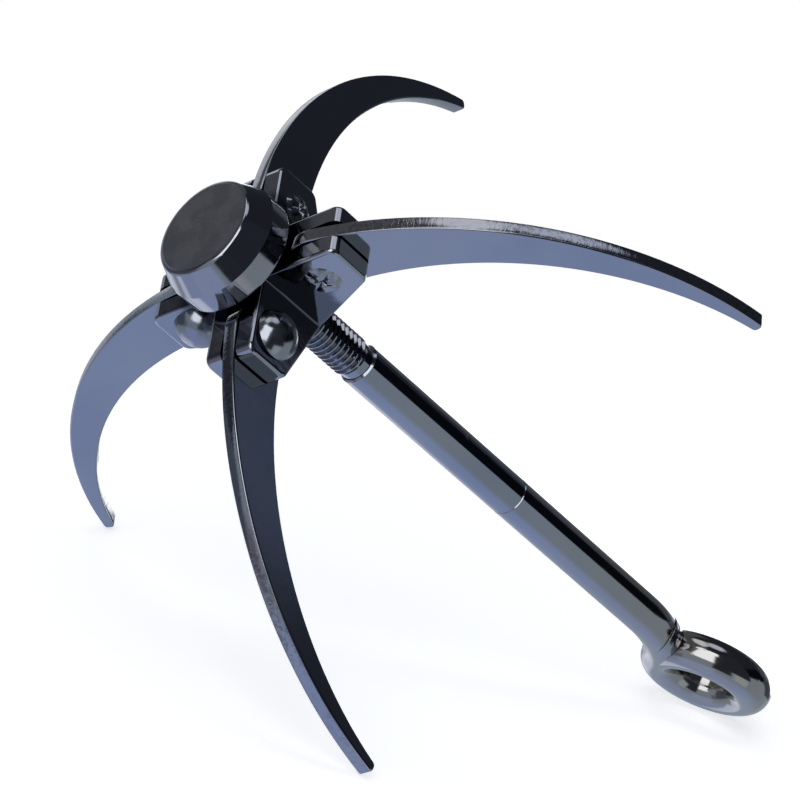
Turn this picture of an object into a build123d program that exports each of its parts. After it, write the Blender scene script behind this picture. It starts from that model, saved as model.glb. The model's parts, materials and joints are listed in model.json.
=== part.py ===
from build123d import *
import os
from math import asin, cos, degrees, hypot, radians, sin, sqrt

# Folding grapnel anchor with four claws, lying on two claw tips and its rope eye.
#
# Every piece is first built in the shank's own frame: Z runs along the shank from the
# outer face of the knob (Z = 0) to the rope eye, and the claws lie in the X and Y planes.
# "Along" below means that Z, and "out" means the distance from the shank's axis.
# All sizes are in millimetres.

# ---- Driving dimensions ----
# Shank: a 10 mm round bar in two lengths, with an M10 x 1.5 thread at the knob end
ROD_R = 5.0
THREAD_PITCH = 1.5
THREAD_MAJOR_R = 4.85
THREAD_DEPTH = 0.82
THREAD_CREST = 0.25          # width of the flat on the thread's crest
THREAD_SINK = 0.1            # depth of the ridge's foot below the core's surface
THREAD_START = 12.6
THREAD_END = 52.2
RELIEF_R = 4.4               # plain undercut between the thread and the shoulder
SHOULDER = 54.3
SHOULDER_CHAMFER = 0.4
SPIGOT_START = 3.0           # front end of the shank, inside the knob
SHANK_JOINT = 112.0          # where the two lengths of bar meet
STUD_R = 3.0                 # stud that joins the two lengths
STUD_LENGTH = 12.0
JOINT_CHAMFER = 0.18

# Rope eye: the bar's end bent round into a ring and closed with a weld
EYE_ANGLE = 22.0             # turn of the ring's plane from the first claw's plane, degrees
EYE_ALONG = 199.0
EYE_OFFSET = -1.8            # ring's centre from the shank's axis, in the ring's plane
EYE_RING_R = 12.1            # radius of the bar's centre line in the ring
EYE_HOLE_R = 7.25            # short cylindrical land where a pin or shackle bears
NECK_BEND_R = 30.0           # bend where the bar swings from the shank into the ring
EYE_END_ANGLE = 61.0         # where the bar's closing end leaves the ring, from its top
EYE_END_LENGTH = 17.0
WELD_HEIGHT = 0.5            # how far the weld stands off the two lengths that it joins

# Knob: a turned cap on the shank's front end
KNOB_R = 14.4
KNOB_FACE_R = 11.85
KNOB_FLANK = 5.95            # length of the conical flank
KNOB_LENGTH = 11.85
KNOB_EDGE_R = 1.3            # rounding between the face and the flank
KNOB_RIM_R = 0.8             # rounding of the rear rim

# Claws: flat steel plate, sickle shaped between two circular arcs
CLAW_COUNT = 4
CLAW_THICKNESS = 3.3
CLAW_EDGE_R = 0.45
CLAW_ROOT_R = 8.0                    # round root, tangent to both arcs
CLAW_BACK_CENTRE = (10.3, 99.7)      # (out, along) of the convex back's arc
CLAW_THROAT_CENTRE = (21.1, 104.75)  # (out, along) of the hollow inner edge's arc
CLAW_TIP_BACK_ALONG = 76.0
CLAW_TIP_THROAT_ALONG = 76.9
CLAW_TIP_R = 1.0
CLAW_FOLDS = (6.7, 0, 0, 0)          # how far each claw lies folded towards the eye, degrees

# Hinges: one rivet for each claw, held in the hub's two ears
HINGE_OUT = 17.0
HINGE_ALONG = 21.2
CLAW_BACK_R = CLAW_ROOT_R + hypot(
    HINGE_OUT - CLAW_BACK_CENTRE[0], HINGE_ALONG - CLAW_BACK_CENTRE[1])
CLAW_THROAT_R = hypot(
    HINGE_OUT - CLAW_THROAT_CENTRE[0], HINGE_ALONG - CLAW_THROAT_CENTRE[1]) - CLAW_ROOT_R
RIVET_R = 3.0
RIVET_HEAD_R = 5.9
RIVET_HEAD_HEIGHT = 4.1
RIVET_TAIL_R = 4.5
RIVET_TAIL_HEIGHT = 1.3
RIVET_TAIL_NOTCHES = 5
PIVOT_CLEARANCE = 0.05

# Hub: a cross-shaped block on the thread, with a slotted arm for each claw
HUB_HALF_WIDTH = 6.4
HUB_ARM_OUT = 25.5
HUB_FRONT = 13.9
HUB_ARM_BACK = 26.0          # rear corner of an arm's end
HUB_BACK = 34.2              # rear end of the hub at the shank
HUB_CORNER_R = 2.3
HUB_EDGE_R = 0.9
HUB_INNER_R = 0.6             # in the corners between neighbouring arms
SLOT_HALF_WIDTH = 2.1
SLOT_FLOOR_OUT = 8.6
HUB_BORE_R = THREAD_MAJOR_R + PIVOT_CLEARANCE


# ---- Small helpers ----
def on_circle(centre, radius, along):
    """Point of a circle at a given distance along, on its outer side."""
    return (centre[0] + sqrt(radius**2 - (along - centre[1])**2), along)


def claw_plane(lateral=0.0):
    """Sketch plane of a claw on the +X side: sketch x is out, sketch y is along."""
    return Plane(origin=(0, lateral, 0), x_dir=(1, 0, 0), z_dir=(0, -1, 0))


def eye_plane():
    """Plane of the eye's ring: sketch x is across the shank, sketch y is along it."""
    across = (cos(radians(EYE_ANGLE)), sin(radians(EYE_ANGLE)), 0)
    return Plane(origin=(0, 0, 0), x_dir=across, z_dir=Vector(across).cross(Vector(0, 0, 1)))


def turned(profile_points):
    """Solid of revolution about Z from (radius, along) points."""
    outline = Plane.XZ * make_face(Polyline(*profile_points, close=True))
    return revolve(outline, Axis.Z)


def quarter_turns(shape):
    """The shape at each of the four claw positions."""
    return [Rot(0, 0, 90 * i) * shape for i in range(CLAW_COUNT)]


# ---- Pieces, in the shank's frame ----
def make_thread():
    """Helical ridge of the external thread, sunk a little into the core."""
    half_base = THREAD_PITCH / 2 - 0.03
    half_crest = THREAD_CREST / 2
    foot = -THREAD_DEPTH - THREAD_SINK
    helix = Helix(pitch=THREAD_PITCH, height=THREAD_END - THREAD_START - THREAD_PITCH,
                  radius=THREAD_MAJOR_R, center=(0, 0, THREAD_START + THREAD_PITCH / 2))
    section_plane = Plane(origin=helix @ 0, x_dir=(1, 0, 0), z_dir=(0, -1, 0))
    section = section_plane * make_face(Polyline(
        (foot, -half_base), (0, -half_crest), (0, half_crest), (foot, half_base), close=True))
    return sweep(section, path=helix, is_frenet=True)


def make_shank_front():
    """Threaded front length of the shank, from inside the knob to the joint."""
    root_r = THREAD_MAJOR_R - THREAD_DEPTH
    core = turned([
        (0, SPIGOT_START), (THREAD_MAJOR_R, SPIGOT_START), (THREAD_MAJOR_R, KNOB_LENGTH),
        (root_r, THREAD_START), (root_r, THREAD_END), (RELIEF_R, THREAD_END),
        (RELIEF_R, SHOULDER), (ROD_R - SHOULDER_CHAMFER, SHOULDER),
        (ROD_R, SHOULDER + SHOULDER_CHAMFER), (ROD_R, SHANK_JOINT - JOINT_CHAMFER),
        (ROD_R - JOINT_CHAMFER, SHANK_JOINT), (0, SHANK_JOINT)])
    stud_hole = Pos(0, 0, SHANK_JOINT - STUD_LENGTH) * Cylinder(
        STUD_R, STUD_LENGTH, align=(Align.CENTER, Align.CENTER, Align.MIN))
    return core + make_thread() - stud_hole


def neck_bend():
    """Centre of the neck bend, in the eye's plane."""
    span = EYE_RING_R + NECK_BEND_R
    return (-NECK_BEND_R, EYE_ALONG - sqrt(span**2 - (EYE_OFFSET + NECK_BEND_R)**2))


def eye_end():
    """Frame of the bar's closing end: its seat on the ring, pointing at the neck."""
    turn = radians(EYE_END_ANGLE)
    seat = (EYE_OFFSET + EYE_RING_R * sin(turn), EYE_ALONG - EYE_RING_R * cos(turn))
    plane = eye_plane()
    origin = plane.from_local_coords((seat[0], seat[1], 0))
    towards = plane.from_local_coords((seat[0] - cos(turn), seat[1] - sin(turn), 0)) - origin
    return Plane(origin=origin, x_dir=plane.z_dir, z_dir=towards)


def neck_bar(radius):
    """Bar from the shank's straight part round the neck bend and into the ring."""
    bend = neck_bend()
    straight = Line((0, SHANK_JOINT + 10), (0, bend[1]))
    half_turn = degrees(asin((EYE_OFFSET + NECK_BEND_R) / (EYE_RING_R + NECK_BEND_R)))
    neck = CenterArc(bend, NECK_BEND_R, 0, 90 - half_turn)
    path = eye_plane() * Wire([straight, neck])
    section = Plane(origin=path @ 0, z_dir=path % 0) * Circle(radius)
    return sweep(section, path=path)


def closing_end(radius):
    """The bar's straight closing end, from its seat on the ring to the neck."""
    return eye_end() * Cylinder(radius, EYE_END_LENGTH, align=(Align.CENTER, Align.CENTER, Align.MIN))


def make_shank_rear():
    """Rear length of the shank with its stud, neck bend and closed rope eye."""
    plane = eye_plane()
    front = turned([
        (0, SHANK_JOINT - STUD_LENGTH), (STUD_R, SHANK_JOINT - STUD_LENGTH),
        (STUD_R, SHANK_JOINT), (ROD_R - JOINT_CHAMFER, SHANK_JOINT),
        (ROD_R, SHANK_JOINT + JOINT_CHAMFER), (ROD_R, SHANK_JOINT + 10), (0, SHANK_JOINT + 10)])
    ring_centre = plane.from_local_coords((EYE_OFFSET, EYE_ALONG, 0))
    ring_plane = Plane(origin=ring_centre, x_dir=plane.x_dir, z_dir=plane.z_dir)
    loop = ring_plane * Torus(EYE_RING_R, ROD_R)
    land = ring_plane * Cylinder(EYE_HOLE_R, 3 * ROD_R)
    return front + neck_bar(ROD_R) + loop + closing_end(ROD_R) - land


def make_eye_weld(shank_rear):
    """Weld along the seam between the closing end and the neck, outside the bar itself."""
    both = neck_bar(ROD_R + WELD_HEIGHT) & closing_end(ROD_R + WELD_HEIGHT)
    outside = (both - shank_rear).solids()
    return max(outside, key=lambda solid: solid.volume)


def make_knob():
    """Turned cap with a flat face, a conical flank and a blind socket for the shank."""
    blank = turned([
        (0, 0), (KNOB_FACE_R, 0), (KNOB_R, KNOB_FLANK), (KNOB_R, KNOB_LENGTH),
        (0, KNOB_LENGTH)])
    circles = blank.edges().filter_by(GeomType.CIRCLE)
    blank = fillet(circles.group_by(Axis.Z)[0], KNOB_EDGE_R)
    rim = blank.edges().filter_by(GeomType.CIRCLE).group_by(Axis.Z)[-1]
    blank = fillet(rim, KNOB_RIM_R)
    socket = Pos(0, 0, SPIGOT_START) * Cylinder(
        THREAD_MAJOR_R, KNOB_LENGTH, align=(Align.CENTER, Align.CENTER, Align.MIN))
    return blank - socket


def make_hub():
    """Cross-shaped block: four slotted arms round a bore that runs on the thread."""
    profile = make_face(Polyline(
        (0, HUB_FRONT), (HUB_ARM_OUT, HUB_FRONT), (HUB_ARM_OUT, HUB_ARM_BACK),
        (HUB_HALF_WIDTH, HUB_BACK), (0, HUB_BACK), close=True))
    corners = profile.vertices().filter_by_position(Axis.X, HUB_ARM_OUT - 0.1, HUB_ARM_OUT + 0.1)
    profile = fillet(corners, HUB_CORNER_R)
    arm = extrude(claw_plane(HUB_HALF_WIDTH) * profile, 2 * HUB_HALF_WIDTH)
    side_edges = [edge for edge in arm.edges()
                  if abs(abs(edge.center().Y) - HUB_HALF_WIDTH) < 0.01
                  and edge.center().X > HUB_HALF_WIDTH + HUB_EDGE_R]
    arm = fillet(side_edges, HUB_EDGE_R)
    slot_length = HUB_ARM_OUT
    slot = Pos(SLOT_FLOOR_OUT, 0, 0) * Box(
        slot_length, 2 * SLOT_HALF_WIDTH, 2 * HUB_BACK + 10,
        align=(Align.MIN, Align.CENTER, Align.CENTER))
    rivet_hole = Pos(HINGE_OUT, 0, HINGE_ALONG) * Rot(90, 0, 0) * Cylinder(
        RIVET_R, 3 * HUB_HALF_WIDTH)
    bore = Cylinder(HUB_BORE_R, 3 * HUB_BACK)
    block = Part() + quarter_turns(arm)
    inner_edges = [edge for edge in block.edges()
                   if abs(abs(edge.center().X) - HUB_HALF_WIDTH) < 0.01
                   and abs(abs(edge.center().Y) - HUB_HALF_WIDTH) < 0.01]
    block = fillet(inner_edges, HUB_INNER_R)
    return block - quarter_turns(slot) - quarter_turns(rivet_hole) - bore


def make_claw():
    """Claw on the +X side: a round root on the rivet, then a crescent to a blunt tip."""
    hinge = Vector(HINGE_OUT, HINGE_ALONG)
    back, throat = Vector(*CLAW_BACK_CENTRE), Vector(*CLAW_THROAT_CENTRE)
    root_back = hinge + (hinge - back).normalized() * CLAW_ROOT_R
    root_throat = hinge - (hinge - throat).normalized() * CLAW_ROOT_R
    tip_back = on_circle(CLAW_BACK_CENTRE, CLAW_BACK_R, CLAW_TIP_BACK_ALONG)
    tip_throat = on_circle(CLAW_THROAT_CENTRE, CLAW_THROAT_R, CLAW_TIP_THROAT_ALONG)
    back_middle = on_circle(CLAW_BACK_CENTRE, CLAW_BACK_R, 2 * HINGE_ALONG)
    throat_middle = on_circle(CLAW_THROAT_CENTRE, CLAW_THROAT_R, 2 * HINGE_ALONG)
    outline = make_face([
        ThreePointArc(root_throat, hinge - Vector(CLAW_ROOT_R, 0), root_back),
        ThreePointArc(root_back, back_middle, tip_back),
        Line(tip_back, tip_throat),
        ThreePointArc(tip_throat, throat_middle, root_throat)])
    outline = fillet(outline.vertices().group_by(Axis.Y)[-2:], CLAW_TIP_R)
    plate = extrude(claw_plane(CLAW_THICKNESS / 2) * outline, CLAW_THICKNESS)
    plate = fillet([edge for edge in plate.edges()
                    if abs(abs(edge.center().Y) - CLAW_THICKNESS / 2) < 0.01], CLAW_EDGE_R)
    hole = Pos(HINGE_OUT, 0, HINGE_ALONG) * Rot(90, 0, 0) * Cylinder(
        RIVET_R + PIVOT_CLEARANCE, 2 * CLAW_THICKNESS)
    return plate - hole


def make_rivet():
    """Hinge rivet of the claw on the +X side: a domed head on -Y, a peened tail on +Y."""
    head_sphere_r = (RIVET_HEAD_R**2 + RIVET_HEAD_HEIGHT**2) / (2 * RIVET_HEAD_HEIGHT)
    shank = Cylinder(RIVET_R, 2 * HUB_HALF_WIDTH)
    dome = (Pos(0, 0, HUB_HALF_WIDTH + RIVET_HEAD_HEIGHT - head_sphere_r) * Sphere(head_sphere_r)
            & Pos(0, 0, HUB_HALF_WIDTH) * Cylinder(
                2 * RIVET_HEAD_R, 2 * RIVET_HEAD_HEIGHT,
                align=(Align.CENTER, Align.CENTER, Align.MIN)))
    tail = Pos(0, 0, -HUB_HALF_WIDTH) * Cylinder(
        RIVET_TAIL_R, RIVET_TAIL_HEIGHT, align=(Align.CENTER, Align.CENTER, Align.MAX))
    tail = chamfer(tail.edges().filter_by(GeomType.CIRCLE).sort_by(Axis.Z)[0], 0.7 * RIVET_TAIL_HEIGHT)
    notch = Pos(RIVET_TAIL_R + 0.5, 0, -HUB_HALF_WIDTH - RIVET_TAIL_HEIGHT) * Rot(0, 0, 45) * Box(
        2.0, 2.0, 1.2 * RIVET_TAIL_HEIGHT)
    notches = [Rot(0, 0, 360 / RIVET_TAIL_NOTCHES * i) * notch for i in range(RIVET_TAIL_NOTCHES)]
    rivet = shank + dome + (tail - notches)
    return Pos(HINGE_OUT, 0, HINGE_ALONG) * Rot(90, 0, 0) * rivet


# ---- Lying position: on two claw tips and the eye ----
def rest_tilt():
    """Downward slope of the shank towards the eye, radians, by bisection."""
    tip = on_circle(CLAW_BACK_CENTRE, CLAW_BACK_R, CLAW_TIP_BACK_ALONG)
    tip_below = (tip[0] + CLAW_THICKNESS / 2) / sqrt(2)
    ring_lean = (sin(radians(EYE_ANGLE)) - cos(radians(EYE_ANGLE))) / sqrt(2)

    def eye_gap(tilt):
        tip_height = -CLAW_TIP_BACK_ALONG * sin(tilt) - tip_below * cos(tilt)
        ring_reach = EYE_RING_R * sqrt(sin(tilt)**2 + (ring_lean * cos(tilt))**2) + ROD_R
        eye_height = -EYE_ALONG * sin(tilt) - EYE_OFFSET * ring_lean * cos(tilt) - ring_reach
        return eye_height - tip_height

    low, high = 0.0, radians(60)
    for _ in range(50):
        middle = (low + high) / 2
        if eye_gap(middle) > 0:
            low = middle
        else:
            high = middle
    return low


def lying_frame():
    """Location that lays the shank's frame down, the first claw up and to the right."""
    tilt = rest_tilt()
    first_claw = (sin(tilt) / sqrt(2), -1 / sqrt(2), cos(tilt) / sqrt(2))
    return Plane(origin=(0, 0, 0), x_dir=first_claw, z_dir=(cos(tilt), 0, -sin(tilt))).location


def build_parts():
    """All nodes, in the shank's frame."""
    shank_rear = make_shank_rear()
    nodes = {
        "shank_front": make_shank_front(),
        "shank_rear": shank_rear,
        "eye_weld": make_eye_weld(shank_rear),
        "knob": make_knob(),
        "hub": make_hub(),
    }
    claw, rivet = make_claw(), make_rivet()
    hinge = Axis((HINGE_OUT, 0, HINGE_ALONG), (0, -1, 0))
    for i, fold in enumerate(CLAW_FOLDS):
        nodes[f"claw_{i + 1}"] = Rot(0, 0, 90 * i) * claw.rotate(hinge, fold)
        nodes[f"rivet_{i + 1}"] = Rot(0, 0, 90 * i) * rivet
    return nodes


def main():
    os.makedirs("parts", exist_ok=True)
    lay_down = lying_frame()
    nodes = {name: lay_down * shape for name, shape in build_parts().items()}
    boxes = [shape.bounding_box() for shape in nodes.values()]
    low = [min(tuple(box.min)[axis] for box in boxes) for axis in range(3)]
    high = [max(tuple(box.max)[axis] for box in boxes) for axis in range(3)]
    ground = Pos(-(low[0] + high[0]) / 2, -(low[1] + high[1]) / 2, -low[2])
    for name, shape in nodes.items():
        export_step(ground * shape, f"parts/{name}.step")
    print("size", [high[axis] - low[axis] for axis in range(3)])
    place = ground * lay_down
    for label, point in (("knob face", (0, 0, 0)), ("hinge 1", (HINGE_OUT, 0, HINGE_ALONG)),
                         ("eye", tuple(eye_plane().from_local_coords((EYE_OFFSET, EYE_ALONG, 0))))):
        print(label, (place * Pos(*point)).position)


main()
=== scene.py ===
"""Looks for a folding grapnel anchor: black chrome on steel, in a plain white studio.

The CAD nodes stay where they are and get their finishes here. The eye's weld and the four
rivets are replaced by pieces with the ripples and the peened star that plain solids lack.
Lengths are metres and angles are degrees. Directions are given as azimuth, turned from +X
towards +Y, and elevation above the floor.
"""

import json
from math import asin, cos, degrees, pi, radians, sin

import bmesh
import bpy
from mathutils import Matrix, Vector, noise


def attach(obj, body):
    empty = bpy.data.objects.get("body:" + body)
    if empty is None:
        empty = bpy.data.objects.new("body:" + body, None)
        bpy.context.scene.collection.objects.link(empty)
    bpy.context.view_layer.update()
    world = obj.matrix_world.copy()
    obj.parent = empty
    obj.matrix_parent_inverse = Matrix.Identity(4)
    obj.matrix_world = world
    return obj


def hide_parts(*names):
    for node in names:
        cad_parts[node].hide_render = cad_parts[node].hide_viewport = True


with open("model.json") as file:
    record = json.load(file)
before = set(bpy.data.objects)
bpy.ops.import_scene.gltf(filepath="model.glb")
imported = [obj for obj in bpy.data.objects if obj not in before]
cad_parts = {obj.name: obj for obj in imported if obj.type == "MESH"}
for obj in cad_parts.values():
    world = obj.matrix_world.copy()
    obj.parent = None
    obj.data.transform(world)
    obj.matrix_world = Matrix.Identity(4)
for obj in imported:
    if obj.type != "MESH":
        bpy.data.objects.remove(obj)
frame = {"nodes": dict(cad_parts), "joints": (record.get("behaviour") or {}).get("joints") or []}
bpy.context.view_layer.update()

MM = 0.001
MICRON = 1e-6
JOINTS = {joint["name"]: joint for joint in frame["joints"]}
CLAWS = [name for name in sorted(frame["nodes"]) if name.startswith("claw_")]
SHANK_AXIS = Vector(JOINTS["head_travel"]["axis"])        # from the knob towards the eye

# ---- Camera of the photographed view ----
CAMERA_AT = Vector((-0.4591, -0.6000, 0.2256))
CAMERA_AZIMUTH = 54.6
CAMERA_ELEVATION = -12.37
CAMERA_ROLL = 20.71
CAMERA_SENSOR = 36.0
CAMERA_LENS = 150.88

# ---- Plating ----
# Base colours
PLATE_DARK = (0.248, 0.258, 0.290)
PLATE_LIGHT = (0.280, 0.285, 0.302)
PLATE_BROWN = (0.262, 0.240, 0.234)
PLATE_RUST = (0.145, 0.128, 0.126)     # specks on the claws' narrow faces
PLATE_SHADE_AND_RIVET_TONE = (0.085, 0.088, 0.100)     # near black: painted shade in the corners between the head's arms, and a darker tone on the rivets
PLATE_WARM = (0.290, 0.279, 0.264)     # near the eye

WARM_ALONG = (0.090, 0.160)            # distances from the hinges over which the bar warms
PAINTED_SHADE_OUT = (0.0225, 0.0185)            # distances from the shank's axis over which the painted shade between the head's arms sets in
PAINTED_SHADE_RAGGED = 0.006                    # how far noise shifts that edge
CLAW_CROWN = 55.0                      # curve across a claw's narrow faces, per metre

# Orange peel of the plating: features per metre and height
BAR_PEEL = (330.0, 10 * MICRON)
KNOB_PEEL = (260.0, 7 * MICRON)
CLAW_PEEL = (240.0, 9 * MICRON)
PIT_DEPTH = 1.2 * MICRON
PIT_ROUGHNESS = 0.10
CLEAN_ROUGHNESS = 0.048
SMUDGED_ROUGHNESS = 0.088

# Sizes of the marks that each way of making a piece leaves
LATHE_PITCH = 0.42 * MM
LATHE_RINGS = 0.35 * MICRON
DRAWN_STREAKS = 2.5 * MICRON
DRAWN_KNOCKS = 25 * MICRON
FORGED_WAVES = 60 * MICRON
FORGED_GRAIN = 1.6 * MICRON
SHEAR_CUTS = 14 * MICRON
SHEAR_LUMPS = 30 * MICRON
HAMMER_MARKS = 22 * MICRON
WELD_GRAIN = 6 * MICRON

# Roughness that the marks add to the plating's own
LATHE_SATIN = 0.19                     # on the knob's face
LATHE_WORN = 0.045
DRAWN_ROUGH = 0.05
WARM_ROUGH = 0.06
FORGED_ROUGH = 0.06
SHEAR_ROUGH = 0.07
HAMMER_ROUGH = (0.10, 0.19)
WELD_ROUGH = (0.05, 0.14)

# Shares of a tint in the plating's colour
RUST_SHARE = 0.6                       # of PLATE_RUST in a speck
HAMMER_SHADE = 0.15                    # of PLATE_SHADE_AND_RIVET_TONE on a rivet

# ---- Studio ----
WHITE_COLOUR = (1.0, 1.0, 1.0, 1.0)
SKY = (0.036, 0.041, 0.054)
TABLE = (0.48, 0.56, 0.64)
TABLE_BELOW = (0.57, 0.70, 1.06)
TABLE_HORIZON = 9.0
HORIZON_BLUR = 1.0
TABLE_TURNS = (-38.0, -66.0)    # elevations over which the table turns into the table below
# Walls, lamps and cards round the object, later ones in front of earlier ones: azimuths,
# elevations, edge softness and radiance
STUDIO = (
    ("shaded wall", (62, 196), (14, 54), 6, (0.170, 0.175, 0.190)),
    ("dark wall", (127, 162), (-4, 15), 4, (0.055, 0.065, 0.090)),
    ("shaded table", (100, 168), (-34, -3), 8, (0.150, 0.170, 0.240)),
    ("brown table", (168, 184), (-36, -16), 5, (0.33, 0.30, 0.38)),
    ("lavender table", (176, 238), (-92, -37), 8, (0.62, 0.74, 1.12)),
    ("bright table", (58, 90), (-62, -26), 9, (1.05, 1.10, 1.30)),
    ("bright table below", (60, 118), (-76, -52), 6, (1.15, 1.25, 1.60)),
    ("side table", (64, 100), (-18, -6), 5, (0.53, 0.57, 0.66)),
    ("black flag", (234, 302), (-8, 60), 4, (0.045, 0.052, 0.072)),
    ("low flag", (232, 264), (-30, -6), 4, (0.050, 0.055, 0.070)),
    ("black card", (302, 354), (8, 34), 4, (0.006, 0.008, 0.012)),
    ("sky glow", (357.6, 361.4), (28, 33), 3, (0.120, 0.148, 0.225)),
    ("dark doorway", (347, 378), (-19, 9), 5, (0.11, 0.12, 0.14)),
    ("grey card", (268, 296), (-42, -10), 4, (0.75, 0.80, 0.85)),
    ("far wall", (-2, 42), (10, 25), 6, (0.13, 0.14, 0.16)),
    ("ceiling", (-40, 320), (77, 104), 7, (1.20, 1.30, 1.52)),
    ("overhead softbox", (112, 190), (58, 76), 6, (1.45, 1.50, 1.62)),
    ("low softbox", (196, 232), (-2, 40), 4, (2.70, 2.78, 2.92)),
    ("low softbox top", (190, 238), (36, 53), 4, (2.80, 2.88, 3.02)),
    ("side strip", (60, 108), (3, 18), 4, (1.05, 1.07, 1.12)),
    ("rim strip", (22, 60), (-12, 0), 2, (2.40, 2.50, 2.60)),
)

# ---- Floor ----
FLOOR_RADIUS = 2.5
FLOOR_SEGMENTS = 96
FLOOR_FADE = (0.16, 0.50)      # distances over which the floor turns into plain white
FLOOR_COLOUR = (0.93, 0.935, 0.95)
FLOOR_GLOW = 0.64


class Graph:
    """Adds nodes to a node tree, so that a material or a world reads as a formula."""

    def __init__(self, tree):
        tree.nodes.clear()
        self.tree = tree

    def node(self, kind, inputs=None, **settings):
        made = self.tree.nodes.new(kind)
        for name, value in settings.items():
            setattr(made, name, value)
        for key, value in (inputs or {}).items():
            if isinstance(value, bpy.types.NodeSocket):
                self.tree.links.new(value, made.inputs[key])
            else:
                made.inputs[key].default_value = value
        return made

    def math(self, operation, *values):
        return self.node("ShaderNodeMath", dict(enumerate(values)), operation=operation).outputs[0]

    def vector(self, operation, *values, output="Vector", scale=None):
        inputs = dict(enumerate(values))
        if scale is not None:
            inputs["Scale"] = scale
        return self.node("ShaderNodeVectorMath", inputs, operation=operation).outputs[output]

    def noise(self, vector, scale, detail=2.0, roughness=0.5, distortion=0.0):
        """Fractal noise from 0 to 1; scale is in features per metre."""
        inputs = {"Vector": vector, "Scale": scale, "Detail": detail, "Roughness": roughness,
                  "Distortion": distortion}
        return self.node("ShaderNodeTexNoise", inputs).outputs[0]

    def remap(self, value, low, high, new_low=0.0, new_high=1.0):
        """The value's range low to high, stretched smoothly to new_low to new_high."""
        inputs = {"Value": value, "From Min": low, "From Max": high, "To Min": new_low,
                  "To Max": new_high}
        made = self.node("ShaderNodeMapRange", inputs, interpolation_type="SMOOTHSTEP")
        return made.outputs[0]

    def mix(self, factor, first, second):
        """Mix of two colours, given as sockets or as (r, g, b)."""
        inputs = {0: factor}
        for key, value in ((6, first), (7, second)):
            inputs[key] = (*value, 1.0) if isinstance(value, tuple) else value
        return self.node("ShaderNodeMix", inputs, data_type="RGBA").outputs[2]


def direction(azimuth, elevation):
    """Unit vector of a direction."""
    level = cos(radians(elevation))
    return Vector((level * cos(radians(azimuth)), level * sin(radians(azimuth)),
                   sin(radians(elevation))))


def add_object(name, mesh):
    made = bpy.data.objects.new(name, mesh)
    bpy.context.scene.collection.objects.link(made)
    return made


# ---- Finishes ----
def shank_coordinates(graph, position):
    """(distance along the shank from the claws' hinges, distance from its axis), as sockets."""
    hinges = [Vector(JOINTS[f"claw_{number}_fold"]["pos_m"]) for number in (1, 3)]
    offset = graph.vector("SUBTRACT", position, tuple(sum(hinges, Vector()) / 2))
    along = graph.vector("DOT_PRODUCT", offset, tuple(SHANK_AXIS), output="Value")
    on_axis = graph.vector("SCALE", tuple(SHANK_AXIS), scale=along)
    out = graph.vector("LENGTH", graph.vector("SUBTRACT", offset, on_axis), output="Value")
    return along, out


def stretched(graph, position, axis, keep):
    """The position squeezed along an axis, so that noise on it draws streaks that way."""
    along = graph.vector("DOT_PRODUCT", position, tuple(axis), output="Value")
    part = graph.vector("SCALE", tuple(axis), scale=graph.math("MULTIPLY", along, 1 - keep))
    return graph.vector("SUBTRACT", position, part)


def plating(name, extra, peel=BAR_PEEL):
    """Black chrome: a dark mirror with a faint orange peel, a mottled tint, smudges and pits.

    extra(graph, position) returns more height in metres, more roughness, and a tint with
    its share.
    """
    material = bpy.data.materials.new(name)
    material.use_nodes = True
    graph = Graph(material.node_tree)
    position = graph.node("ShaderNodeTexCoord").outputs["Object"]

    clouds = graph.remap(graph.noise(position, scale=26.0, detail=4.0, roughness=0.55), 0.35, 0.65)
    colour = graph.mix(clouds, PLATE_DARK, PLATE_LIGHT)
    fingers = graph.noise(position, scale=140.0, detail=5.0, roughness=0.65, distortion=0.6)
    smudges = graph.remap(fingers, 0.48, 0.72)
    pits = graph.remap(graph.noise(position, scale=2600.0), 0.70, 0.80)
    smudged = graph.remap(smudges, 0.0, 1.0, CLEAN_ROUGHNESS, SMUDGED_ROUGHNESS)
    roughness = graph.math("ADD", smudged, graph.math("MULTIPLY", pits, PIT_ROUGHNESS))

    peel_scale, peel_height = peel
    height = graph.math("MULTIPLY", graph.noise(position, scale=peel_scale), peel_height)
    height = graph.math("SUBTRACT", height, graph.math("MULTIPLY", pits, PIT_DEPTH))

    more_height, more_roughness, tint, share = extra(graph, position)
    height = graph.math("ADD", height, more_height)
    roughness = graph.math("ADD", roughness, more_roughness)
    colour = graph.mix(share, colour, tint)

    bump = graph.node("ShaderNodeBump", {"Height": height, "Distance": 1.0, "Strength": 1.0})
    shader = graph.node("ShaderNodeBsdfPrincipled", {
        "Base Color": colour, "Metallic": 1.0, "Roughness": roughness,
        "Normal": bump.outputs["Normal"]})
    graph.node("ShaderNodeOutputMaterial", {"Surface": shader.outputs[0]})
    return material


def facing(graph, axis):
    """How squarely the surface faces along an axis, either way: 0 to 1."""
    normal = graph.node("ShaderNodeTexCoord").outputs["Normal"]
    return graph.math("ABSOLUTE",
                      graph.vector("DOT_PRODUCT", normal, tuple(axis), output="Value"))


def turned_finish(graph, position):
    """Faint rings left by the lathe on the knob's flank, and a satin face."""
    along, out = shank_coordinates(graph, position)
    phase = graph.math("MULTIPLY", graph.math("ADD", along, out), 2 * pi / LATHE_PITCH)
    worn = graph.remap(graph.noise(position, scale=180.0, detail=3.0), 0.42, 0.62)
    depth = graph.math("MULTIPLY", worn, LATHE_RINGS)
    height = graph.math("MULTIPLY", graph.math("SINE", phase), depth)
    face = graph.remap(facing(graph, SHANK_AXIS), 0.90, 0.99)
    roughness = graph.math("ADD", graph.math("MULTIPLY", face, LATHE_SATIN),
                           graph.math("MULTIPLY", worn, LATHE_WORN))
    share = graph.remap(graph.noise(position, scale=90.0, detail=3.0), 0.3, 0.7, 0.2, 0.35)
    return height, roughness, PLATE_BROWN, share


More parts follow.
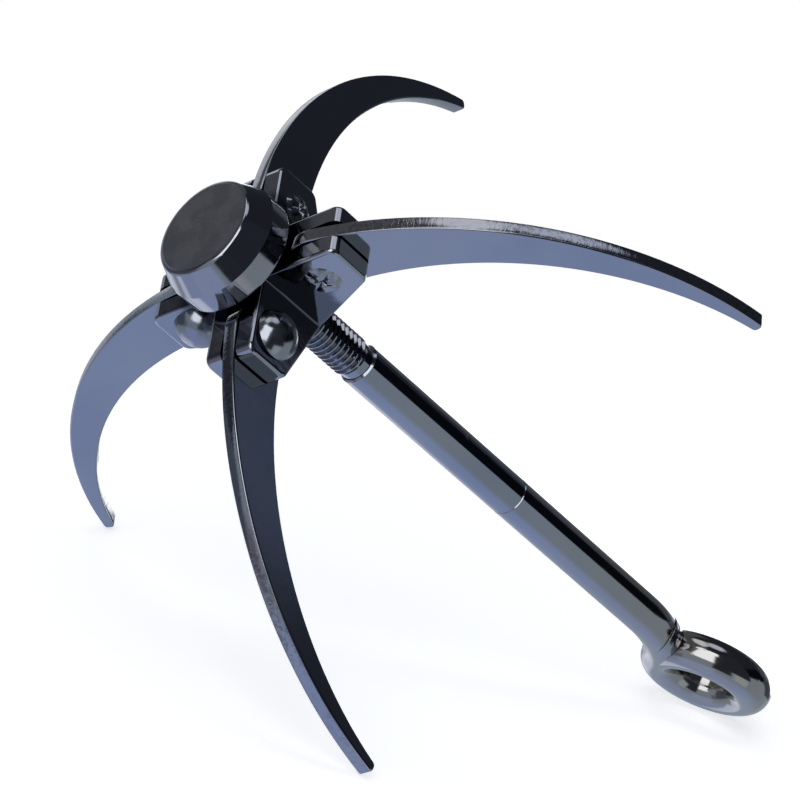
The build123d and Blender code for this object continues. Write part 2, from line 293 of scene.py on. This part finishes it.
def drawn_finish(graph, position):
    """Long faint streaks of a drawn bar with a few small knocks, warmer near the eye."""
    along, _ = shank_coordinates(graph, position)
    drawn = stretched(graph, position, SHANK_AXIS, 0.03)
    streaks = graph.noise(drawn, scale=900.0, detail=3.0, roughness=0.6)
    knocks = graph.remap(graph.noise(position, scale=210.0, detail=1.0), 0.70, 0.78)
    height = graph.math("SUBTRACT", graph.math("MULTIPLY", streaks, DRAWN_STREAKS),
                        graph.math("MULTIPLY", knocks, DRAWN_KNOCKS))
    warm = graph.remap(along, *WARM_ALONG)
    worn = graph.remap(streaks, 0.55, 0.75)
    roughness = graph.math("ADD", graph.math("MULTIPLY", worn, DRAWN_ROUGH),
                           graph.math("MULTIPLY", warm, WARM_ROUGH))
    return height, roughness, PLATE_WARM, warm


def forged_finish(graph, position):
    """Uneven surface of the forged head, with painted shade: near black plating between its arms.
    """
    _, out = shank_coordinates(graph, position)
    waves = graph.noise(position, scale=150.0, detail=3.0, roughness=0.55, distortion=0.4)
    grain = graph.noise(position, scale=1500.0, detail=3.0, roughness=0.6)
    height = graph.math("ADD", graph.math("MULTIPLY", waves, FORGED_WAVES),
                        graph.math("MULTIPLY", grain, FORGED_GRAIN))
    roughness = graph.math("MULTIPLY", graph.remap(waves, 0.5, 0.7), FORGED_ROUGH)
    # painted shade: the plating turns near black towards the shank's axis, in the corners between
    # the head's arms
    ragged = graph.math("ADD", out, graph.math("MULTIPLY", waves, PAINTED_SHADE_RAGGED))
    return height, roughness, PLATE_SHADE_AND_RIVET_TONE, graph.remap(ragged, *PAINTED_SHADE_OUT)


def sheared_finish(claw):
    """Finish of a claw: smooth plate sides, and narrow faces with shear marks and rust specks."""
    side = claw_side(claw)
    hinge = Vector(JOINTS[f"{claw}_fold"]["pos_m"])

    def finish(graph, position):
        narrow = graph.remap(facing(graph, side), 0.50, 0.22)
        offset = graph.vector("SUBTRACT", position, tuple(hinge))
        across = graph.vector("DOT_PRODUCT", offset, tuple(side), output="Value")
        crown = graph.math("MULTIPLY", graph.math("MULTIPLY", across, across), -CLAW_CROWN)
        places = graph.noise(position, scale=60.0, detail=3.0, roughness=0.55)
        patches = graph.remap(places, 0.42, 0.58)
        sheared = stretched(graph, position, side, 0.18)
        marks = graph.noise(sheared, scale=1100.0, detail=3.0, roughness=0.65)
        cuts = graph.remap(marks, 0.44, 0.60)
        lumps = graph.noise(position, scale=620.0, roughness=0.6)
        rough_cut = graph.math("MULTIPLY", narrow, graph.remap(patches, 0.0, 1.0, 0.35, 1.1))
        relief = graph.math("ADD", graph.math("MULTIPLY", cuts, SHEAR_CUTS),
                            graph.math("MULTIPLY", lumps, SHEAR_LUMPS))
        height = graph.math("ADD", graph.math("MULTIPLY", rough_cut, relief),
                            graph.math("MULTIPLY", narrow, crown))
        roughness = graph.math("MULTIPLY", rough_cut, SHEAR_ROUGH)
        grains = graph.noise(position, scale=950.0, detail=3.0, roughness=0.7)
        specks = graph.math("MULTIPLY", rough_cut, graph.remap(grains, 0.47, 0.60))
        share = graph.math("MULTIPLY", specks, RUST_SHARE)
        return height, roughness, PLATE_RUST, share
    return finish


def hammered_finish(graph, position):
    """Shallow hammer marks of a set rivet, which blur what it mirrors."""
    dents = graph.noise(position, scale=420.0, detail=1.5)
    height = graph.math("MULTIPLY", dents, HAMMER_MARKS)
    roughness = graph.remap(dents, 0.4, 0.7, *HAMMER_ROUGH)
    return height, roughness, PLATE_SHADE_AND_RIVET_TONE, HAMMER_SHADE


def weld_finish(graph, position):
    """Gritty skin of a weld under the plating."""
    grit = graph.noise(position, scale=1900.0, detail=4.0, roughness=0.7)
    height = graph.math("MULTIPLY", grit, WELD_GRAIN)
    roughness = graph.remap(grit, 0.4, 0.7, *WELD_ROUGH)
    return height, roughness, PLATE_BROWN, graph.remap(grit, 0.5, 0.75)


def claw_side(claw):
    """Normal of a claw's plate: the axis of its hinge."""
    return Vector(JOINTS[f"{claw}_fold"]["axis"]).normalized()


def finish_cad_nodes():
    """Materials of the CAD nodes that stay in view."""
    bar = plating("drawn_bar", drawn_finish)
    finishes = {
        "shank_front": bar,
        "shank_rear": bar,
        "knob": plating("turned_knob", turned_finish, KNOB_PEEL),
        "hub": plating("forged_head", forged_finish),
    }
    for claw in CLAWS:
        finishes[claw] = plating(f"plate_{claw}", sheared_finish(claw), CLAW_PEEL)
    for name, material in finishes.items():
        node = frame["nodes"][name]
        node.data.materials.clear()
        node.data.materials.append(material)


# ---- Weld ----
WELD_VOXEL = 0.16 * MM
WELD_SMOOTHING = 10
WELD_RIPPLE = 0.09 * MM
WELD_LUMP_SCALE = 620           # features per metre
WELD_GRIT_SCALE = 1900
WELD_GRIT_SHARE = 0.3           # of the ripple
WELD_SHRINK = 0.075             # share by which the bead closes in on its middle


def make_weld():
    """Weld of the eye: the CAD node's bead with lumps and ripples."""
    bead = add_object("weld_bead", frame["nodes"]["eye_weld"].data.copy())
    remesh = bead.modifiers.new("remesh", "REMESH")
    remesh.mode = "VOXEL"
    remesh.voxel_size = WELD_VOXEL
    smooth = bead.modifiers.new("smooth", "SMOOTH")
    smooth.iterations = WELD_SMOOTHING
    depsgraph = bpy.context.evaluated_depsgraph_get()
    mesh = bpy.data.meshes.new_from_object(bead.evaluated_get(depsgraph))
    bead.modifiers.clear()
    bead.data = mesh
    middle = sum((vertex.co for vertex in mesh.vertices), Vector()) / len(mesh.vertices)
    for vertex, normal in [(v, v.normal.copy()) for v in mesh.vertices]:
        lumps = noise.noise(vertex.co * WELD_LUMP_SCALE)
        grit = noise.noise(vertex.co * WELD_GRIT_SCALE)
        vertex.co += normal * WELD_RIPPLE * (lumps + WELD_GRIT_SHARE * grit)
        vertex.co += (middle - vertex.co) * WELD_SHRINK
    mesh.polygons.foreach_set("use_smooth", [True] * len(mesh.polygons))
    mesh.materials.clear()
    mesh.materials.append(plating("weld_skin", weld_finish))
    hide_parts("eye_weld")
    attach(bead, "shank")


# ---- Rivets ----
RIVET_SEGMENTS = 128
DOME_RINGS = 28
TAIL_RINGS = 26
SHAFT_SHARE = 0.5               # the shaft's radius, as a share of the head's
ON_RIM = 0.999                  # share of the head's radius beyond which a point is on its rim
PAST_SEAT = 0.9                 # share of the way to the seat beyond which the tail starts
EDGE_ANGLE = 50.0               # edges sharper than this stay sharp
SAME_POINT = 0.1 * MICRON
SEED_STEP = Vector((3.1, 1.7, 0.9))
# Dents of the dome; noise on a unit sphere or circle is in features per radius
HAMMER_DENT = 0.07 * MM
DENT_SCALE = 2.2
# Star of the tail: creases between petals round a dimple, on a rim that isn't quite round
STAR_POINTS = 4
STAR_WANDER = 0.55              # angle in radians by which the creases leave their places
WANDER_SCALE = 1.1
PETAL_FULLNESS = 0.55           # power that widens the petals and narrows the creases
CREASE_LEVEL = 0.25             # height left in a crease, of the petals'
CREASE_NOTCH = 0.10             # share of the radius that a crease cuts into the rim
DIMPLE_DEPTH = 0.75
DIMPLE_RADII = 3.5              # the tail's radius over the dimple's
RIM_SHARE = 0.92                # mean radius of the rim, as a share of the CAD tail's
RIM_WAVES = 0.06
RIM_SCALE = 2.6
LUMP_LEVEL = 0.88
LUMP_WAVES = 0.24
LUMP_SCALE = 3.0


def rivet_sizes(node, centre, axis):
    """Sizes of a CAD rivet: head radius and height, where its heads seat, and its tail."""
    offsets = [vertex.co - centre for vertex in node.data.vertices]
    heights = [offset.dot(axis) for offset in offsets]
    radii = [(offset - axis * height).length for offset, height in zip(offsets, heights)]
    head_radius = max(radii)
    seat = min(h for h, r in zip(heights, radii) if r > ON_RIM * head_radius)
    tail_radius = max(r for h, r in zip(heights, radii) if h < -PAST_SEAT * seat)
    return {"head_radius": head_radius, "head_height": max(heights) - seat, "seat": seat,
            "tail_radius": tail_radius, "tail_height": -min(heights) - seat}


def dome_rings(size, seed):
    """Rings of the head from its rim to its top, as functions of the angle round it."""
    radius, height = size["head_radius"], size["head_height"]
    sphere = (radius**2 + height**2) / (2 * height)
    centre = size["seat"] + height - sphere
    widest = asin(min(1.0, radius / sphere))
    for ring in range(DOME_RINGS + 1):
        tilt = widest * (1 - ring / DOME_RINGS)

        def point(angle, tilt=tilt):
            place = Vector((sin(tilt) * cos(angle), sin(tilt) * sin(angle), cos(tilt)))
            dent = max(0.0, noise.noise(place * DENT_SCALE + seed)) * HAMMER_DENT
            return place * (sphere - dent) + Vector((0, 0, centre))
        yield point


def tail_rings(size, seed):
    """Rings of the peened tail from its centre to its rim, split by a star of creases."""
    radius, height, seat = size["tail_radius"], size["tail_height"], size["seat"]
    for ring in range(TAIL_RINGS + 1):
        share = ring / TAIL_RINGS

        def point(angle, share=share):
            around = Vector((cos(angle), sin(angle), 0))
            wander = STAR_WANDER * noise.noise(around * WANDER_SCALE + seed)
            petal = abs(sin(STAR_POINTS / 2 * (angle + wander))) ** PETAL_FULLNESS
            waves = RIM_WAVES * noise.noise(around * RIM_SCALE - seed)
            rim = RIM_SHARE + waves - CREASE_NOTCH * (1 - petal)
            dimple = DIMPLE_DEPTH * max(0.0, 1 - DIMPLE_RADII * share)
            crown = (1 - share**3) * (1 - dimple)
            ridge = CREASE_LEVEL + (1 - CREASE_LEVEL) * petal
            lump = noise.noise(around * share * LUMP_SCALE + seed * 2)
            lift = height * crown * ridge * (LUMP_LEVEL + LUMP_WAVES * lump)
            below = seat + min(max(lift, 0.0), height)
            return around * radius * rim * share + Vector((0, 0, -below))
        yield point


def make_rivet(number, material):
    """One rivet: a hammered dome, its shaft and a tail peened over into a star."""
    joint = JOINTS[f"claw_{number}_fold"]
    centre, axis = Vector(joint["pos_m"]), Vector(joint["axis"]).normalized()
    node = f"rivet_{number}"
    size = rivet_sizes(frame["nodes"][node], centre, axis)
    seed = SEED_STEP * number
    turn = axis.to_track_quat("Z", "Y").to_matrix().to_4x4()
    place = Matrix.Translation(centre) @ turn

    shaft = SHAFT_SHARE * size["head_radius"]
    rings = list(dome_rings(size, seed))[::-1]
    for level in (size["seat"], -size["seat"]):
        rings.append(lambda angle, level=level: Vector(
            (shaft * cos(angle), shaft * sin(angle), level)))
    rings += list(tail_rings(size, seed))[::-1]

    mesh = bmesh.new()
    angles = [2 * pi * k / RIVET_SEGMENTS for k in range(RIVET_SEGMENTS)]
    loops = [[mesh.verts.new(place @ ring(angle)) for angle in angles] for ring in rings]
    for near, far in zip(loops, loops[1:]):
        for k in range(RIVET_SEGMENTS):
            other = (k + 1) % RIVET_SEGMENTS
            mesh.faces.new((near[k], near[other], far[other], far[k]))
    bmesh.ops.remove_doubles(mesh, verts=mesh.verts, dist=SAME_POINT)
    bmesh.ops.recalc_face_normals(mesh, faces=mesh.faces)
    for face in mesh.faces:
        face.smooth = True
    data = bpy.data.meshes.new(f"set_rivet_{number}")
    mesh.to_mesh(data)
    mesh.free()
    data.materials.append(material)
    data.set_sharp_from_angle(angle=radians(EDGE_ANGLE))
    rivet = add_object(f"set_rivet_{number}", data)
    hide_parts(node)
    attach(rivet, "head")


# ---- Studio ----
def make_world():
    """The studio as the plating mirrors it; the camera itself sees plain white."""
    world = bpy.data.worlds.new("studio")
    bpy.context.scene.world = world
    world.use_nodes = True
    graph = Graph(world.node_tree)
    place = graph.node("ShaderNodeTexCoord").outputs["Generated"]
    split = graph.node("ShaderNodeSeparateXYZ", {0: place})
    to_degrees = degrees(1)
    azimuth = graph.math("MULTIPLY",
                         graph.math("ARCTAN2", split.outputs[1], split.outputs[0]), to_degrees)
    elevation = graph.math("MULTIPLY", graph.math("ARCSINE", split.outputs[2]), to_degrees)

    table = graph.mix(graph.remap(elevation, *TABLE_TURNS), TABLE, TABLE_BELOW)
    below = graph.remap(elevation, TABLE_HORIZON + HORIZON_BLUR, TABLE_HORIZON - HORIZON_BLUR)
    colour = graph.mix(below, SKY, table)
    for _, azimuths, elevations, soft, radiance in STUDIO:
        sides = []
        for value, (low, high), whole_turn in ((azimuth, azimuths, True),
                                               (elevation, elevations, False)):
            offset = graph.math("SUBTRACT", value, (low + high) / 2)
            if whole_turn:
                offset = graph.math("WRAP", offset, 180.0, -180.0)
            half = (high - low) / 2
            sides.append(graph.remap(graph.math("ABSOLUTE", offset), half + soft / 2,
                                     half - soft / 2))
        colour = graph.mix(graph.math("MULTIPLY", *sides), colour, radiance)

    mirrored = graph.node("ShaderNodeBackground", {"Color": colour})
    seen = graph.node("ShaderNodeBackground", {"Color": WHITE_COLOUR})
    path = graph.node("ShaderNodeLightPath")
    both = graph.node("ShaderNodeMixShader", {
        0: path.outputs["Is Camera Ray"], 1: mirrored.outputs[0], 2: seen.outputs[0]})
    graph.node("ShaderNodeOutputWorld", {"Surface": both.outputs[0]})


def make_floor():
    """Pale floor that takes a soft shadow and fades into the white round it."""
    mesh = bmesh.new()
    bmesh.ops.create_circle(mesh, cap_ends=True, segments=FLOOR_SEGMENTS, radius=FLOOR_RADIUS)
    data = bpy.data.meshes.new("floor")
    mesh.to_mesh(data)
    mesh.free()
    floor = add_object("floor", data)
    material = bpy.data.materials.new("pale_floor")
    material.use_nodes = True
    graph = Graph(material.node_tree)
    position = graph.node("ShaderNodeTexCoord").outputs["Object"]
    distance = graph.vector("LENGTH", position, output="Value")
    lit = graph.node("ShaderNodeBsdfDiffuse", {"Color": (*FLOOR_COLOUR, 1.0)})
    glow = graph.node("ShaderNodeEmission", {"Color": WHITE_COLOUR, "Strength": FLOOR_GLOW})
    near = graph.node("ShaderNodeAddShader", {0: lit.outputs[0], 1: glow.outputs[0]})
    far = graph.node("ShaderNodeEmission", {"Color": WHITE_COLOUR, "Strength": 1.0})
    both = graph.node("ShaderNodeMixShader", {
        0: graph.remap(distance, *FLOOR_FADE), 1: near.outputs[0], 2: far.outputs[0]})
    graph.node("ShaderNodeOutputMaterial", {"Surface": both.outputs[0]})
    data.materials.append(material)
    floor.visible_glossy = False
    floor.visible_diffuse = False
    floor.visible_shadow = False


def make_camera():
    """Camera of the photographed view: off the knob's end, a little above it, and rolled."""
    data = bpy.data.cameras.new("camera")
    data.sensor_width = CAMERA_SENSOR
    data.lens = CAMERA_LENS
    camera = add_object("camera", data)
    ahead = direction(CAMERA_AZIMUTH, CAMERA_ELEVATION)
    level = ahead.cross(Vector((0, 0, 1))).normalized()
    upright = level.cross(ahead)
    roll = radians(CAMERA_ROLL)
    right = level * cos(roll) + upright * sin(roll)
    up = upright * cos(roll) - level * sin(roll)
    turn = Matrix((right, up, -ahead)).transposed().to_4x4()
    camera.matrix_world = Matrix.Translation(CAMERA_AT) @ turn
    bpy.context.scene.camera = camera


def main():
    bpy.context.scene.view_settings.view_transform = "Standard"
    make_camera()
    make_world()
    make_floor()
    finish_cad_nodes()
    make_weld()
    rivet_material = plating("rivet_steel", hammered_finish)
    for number in range(1, len(CLAWS) + 1):
        make_rivet(number, rivet_material)


main()
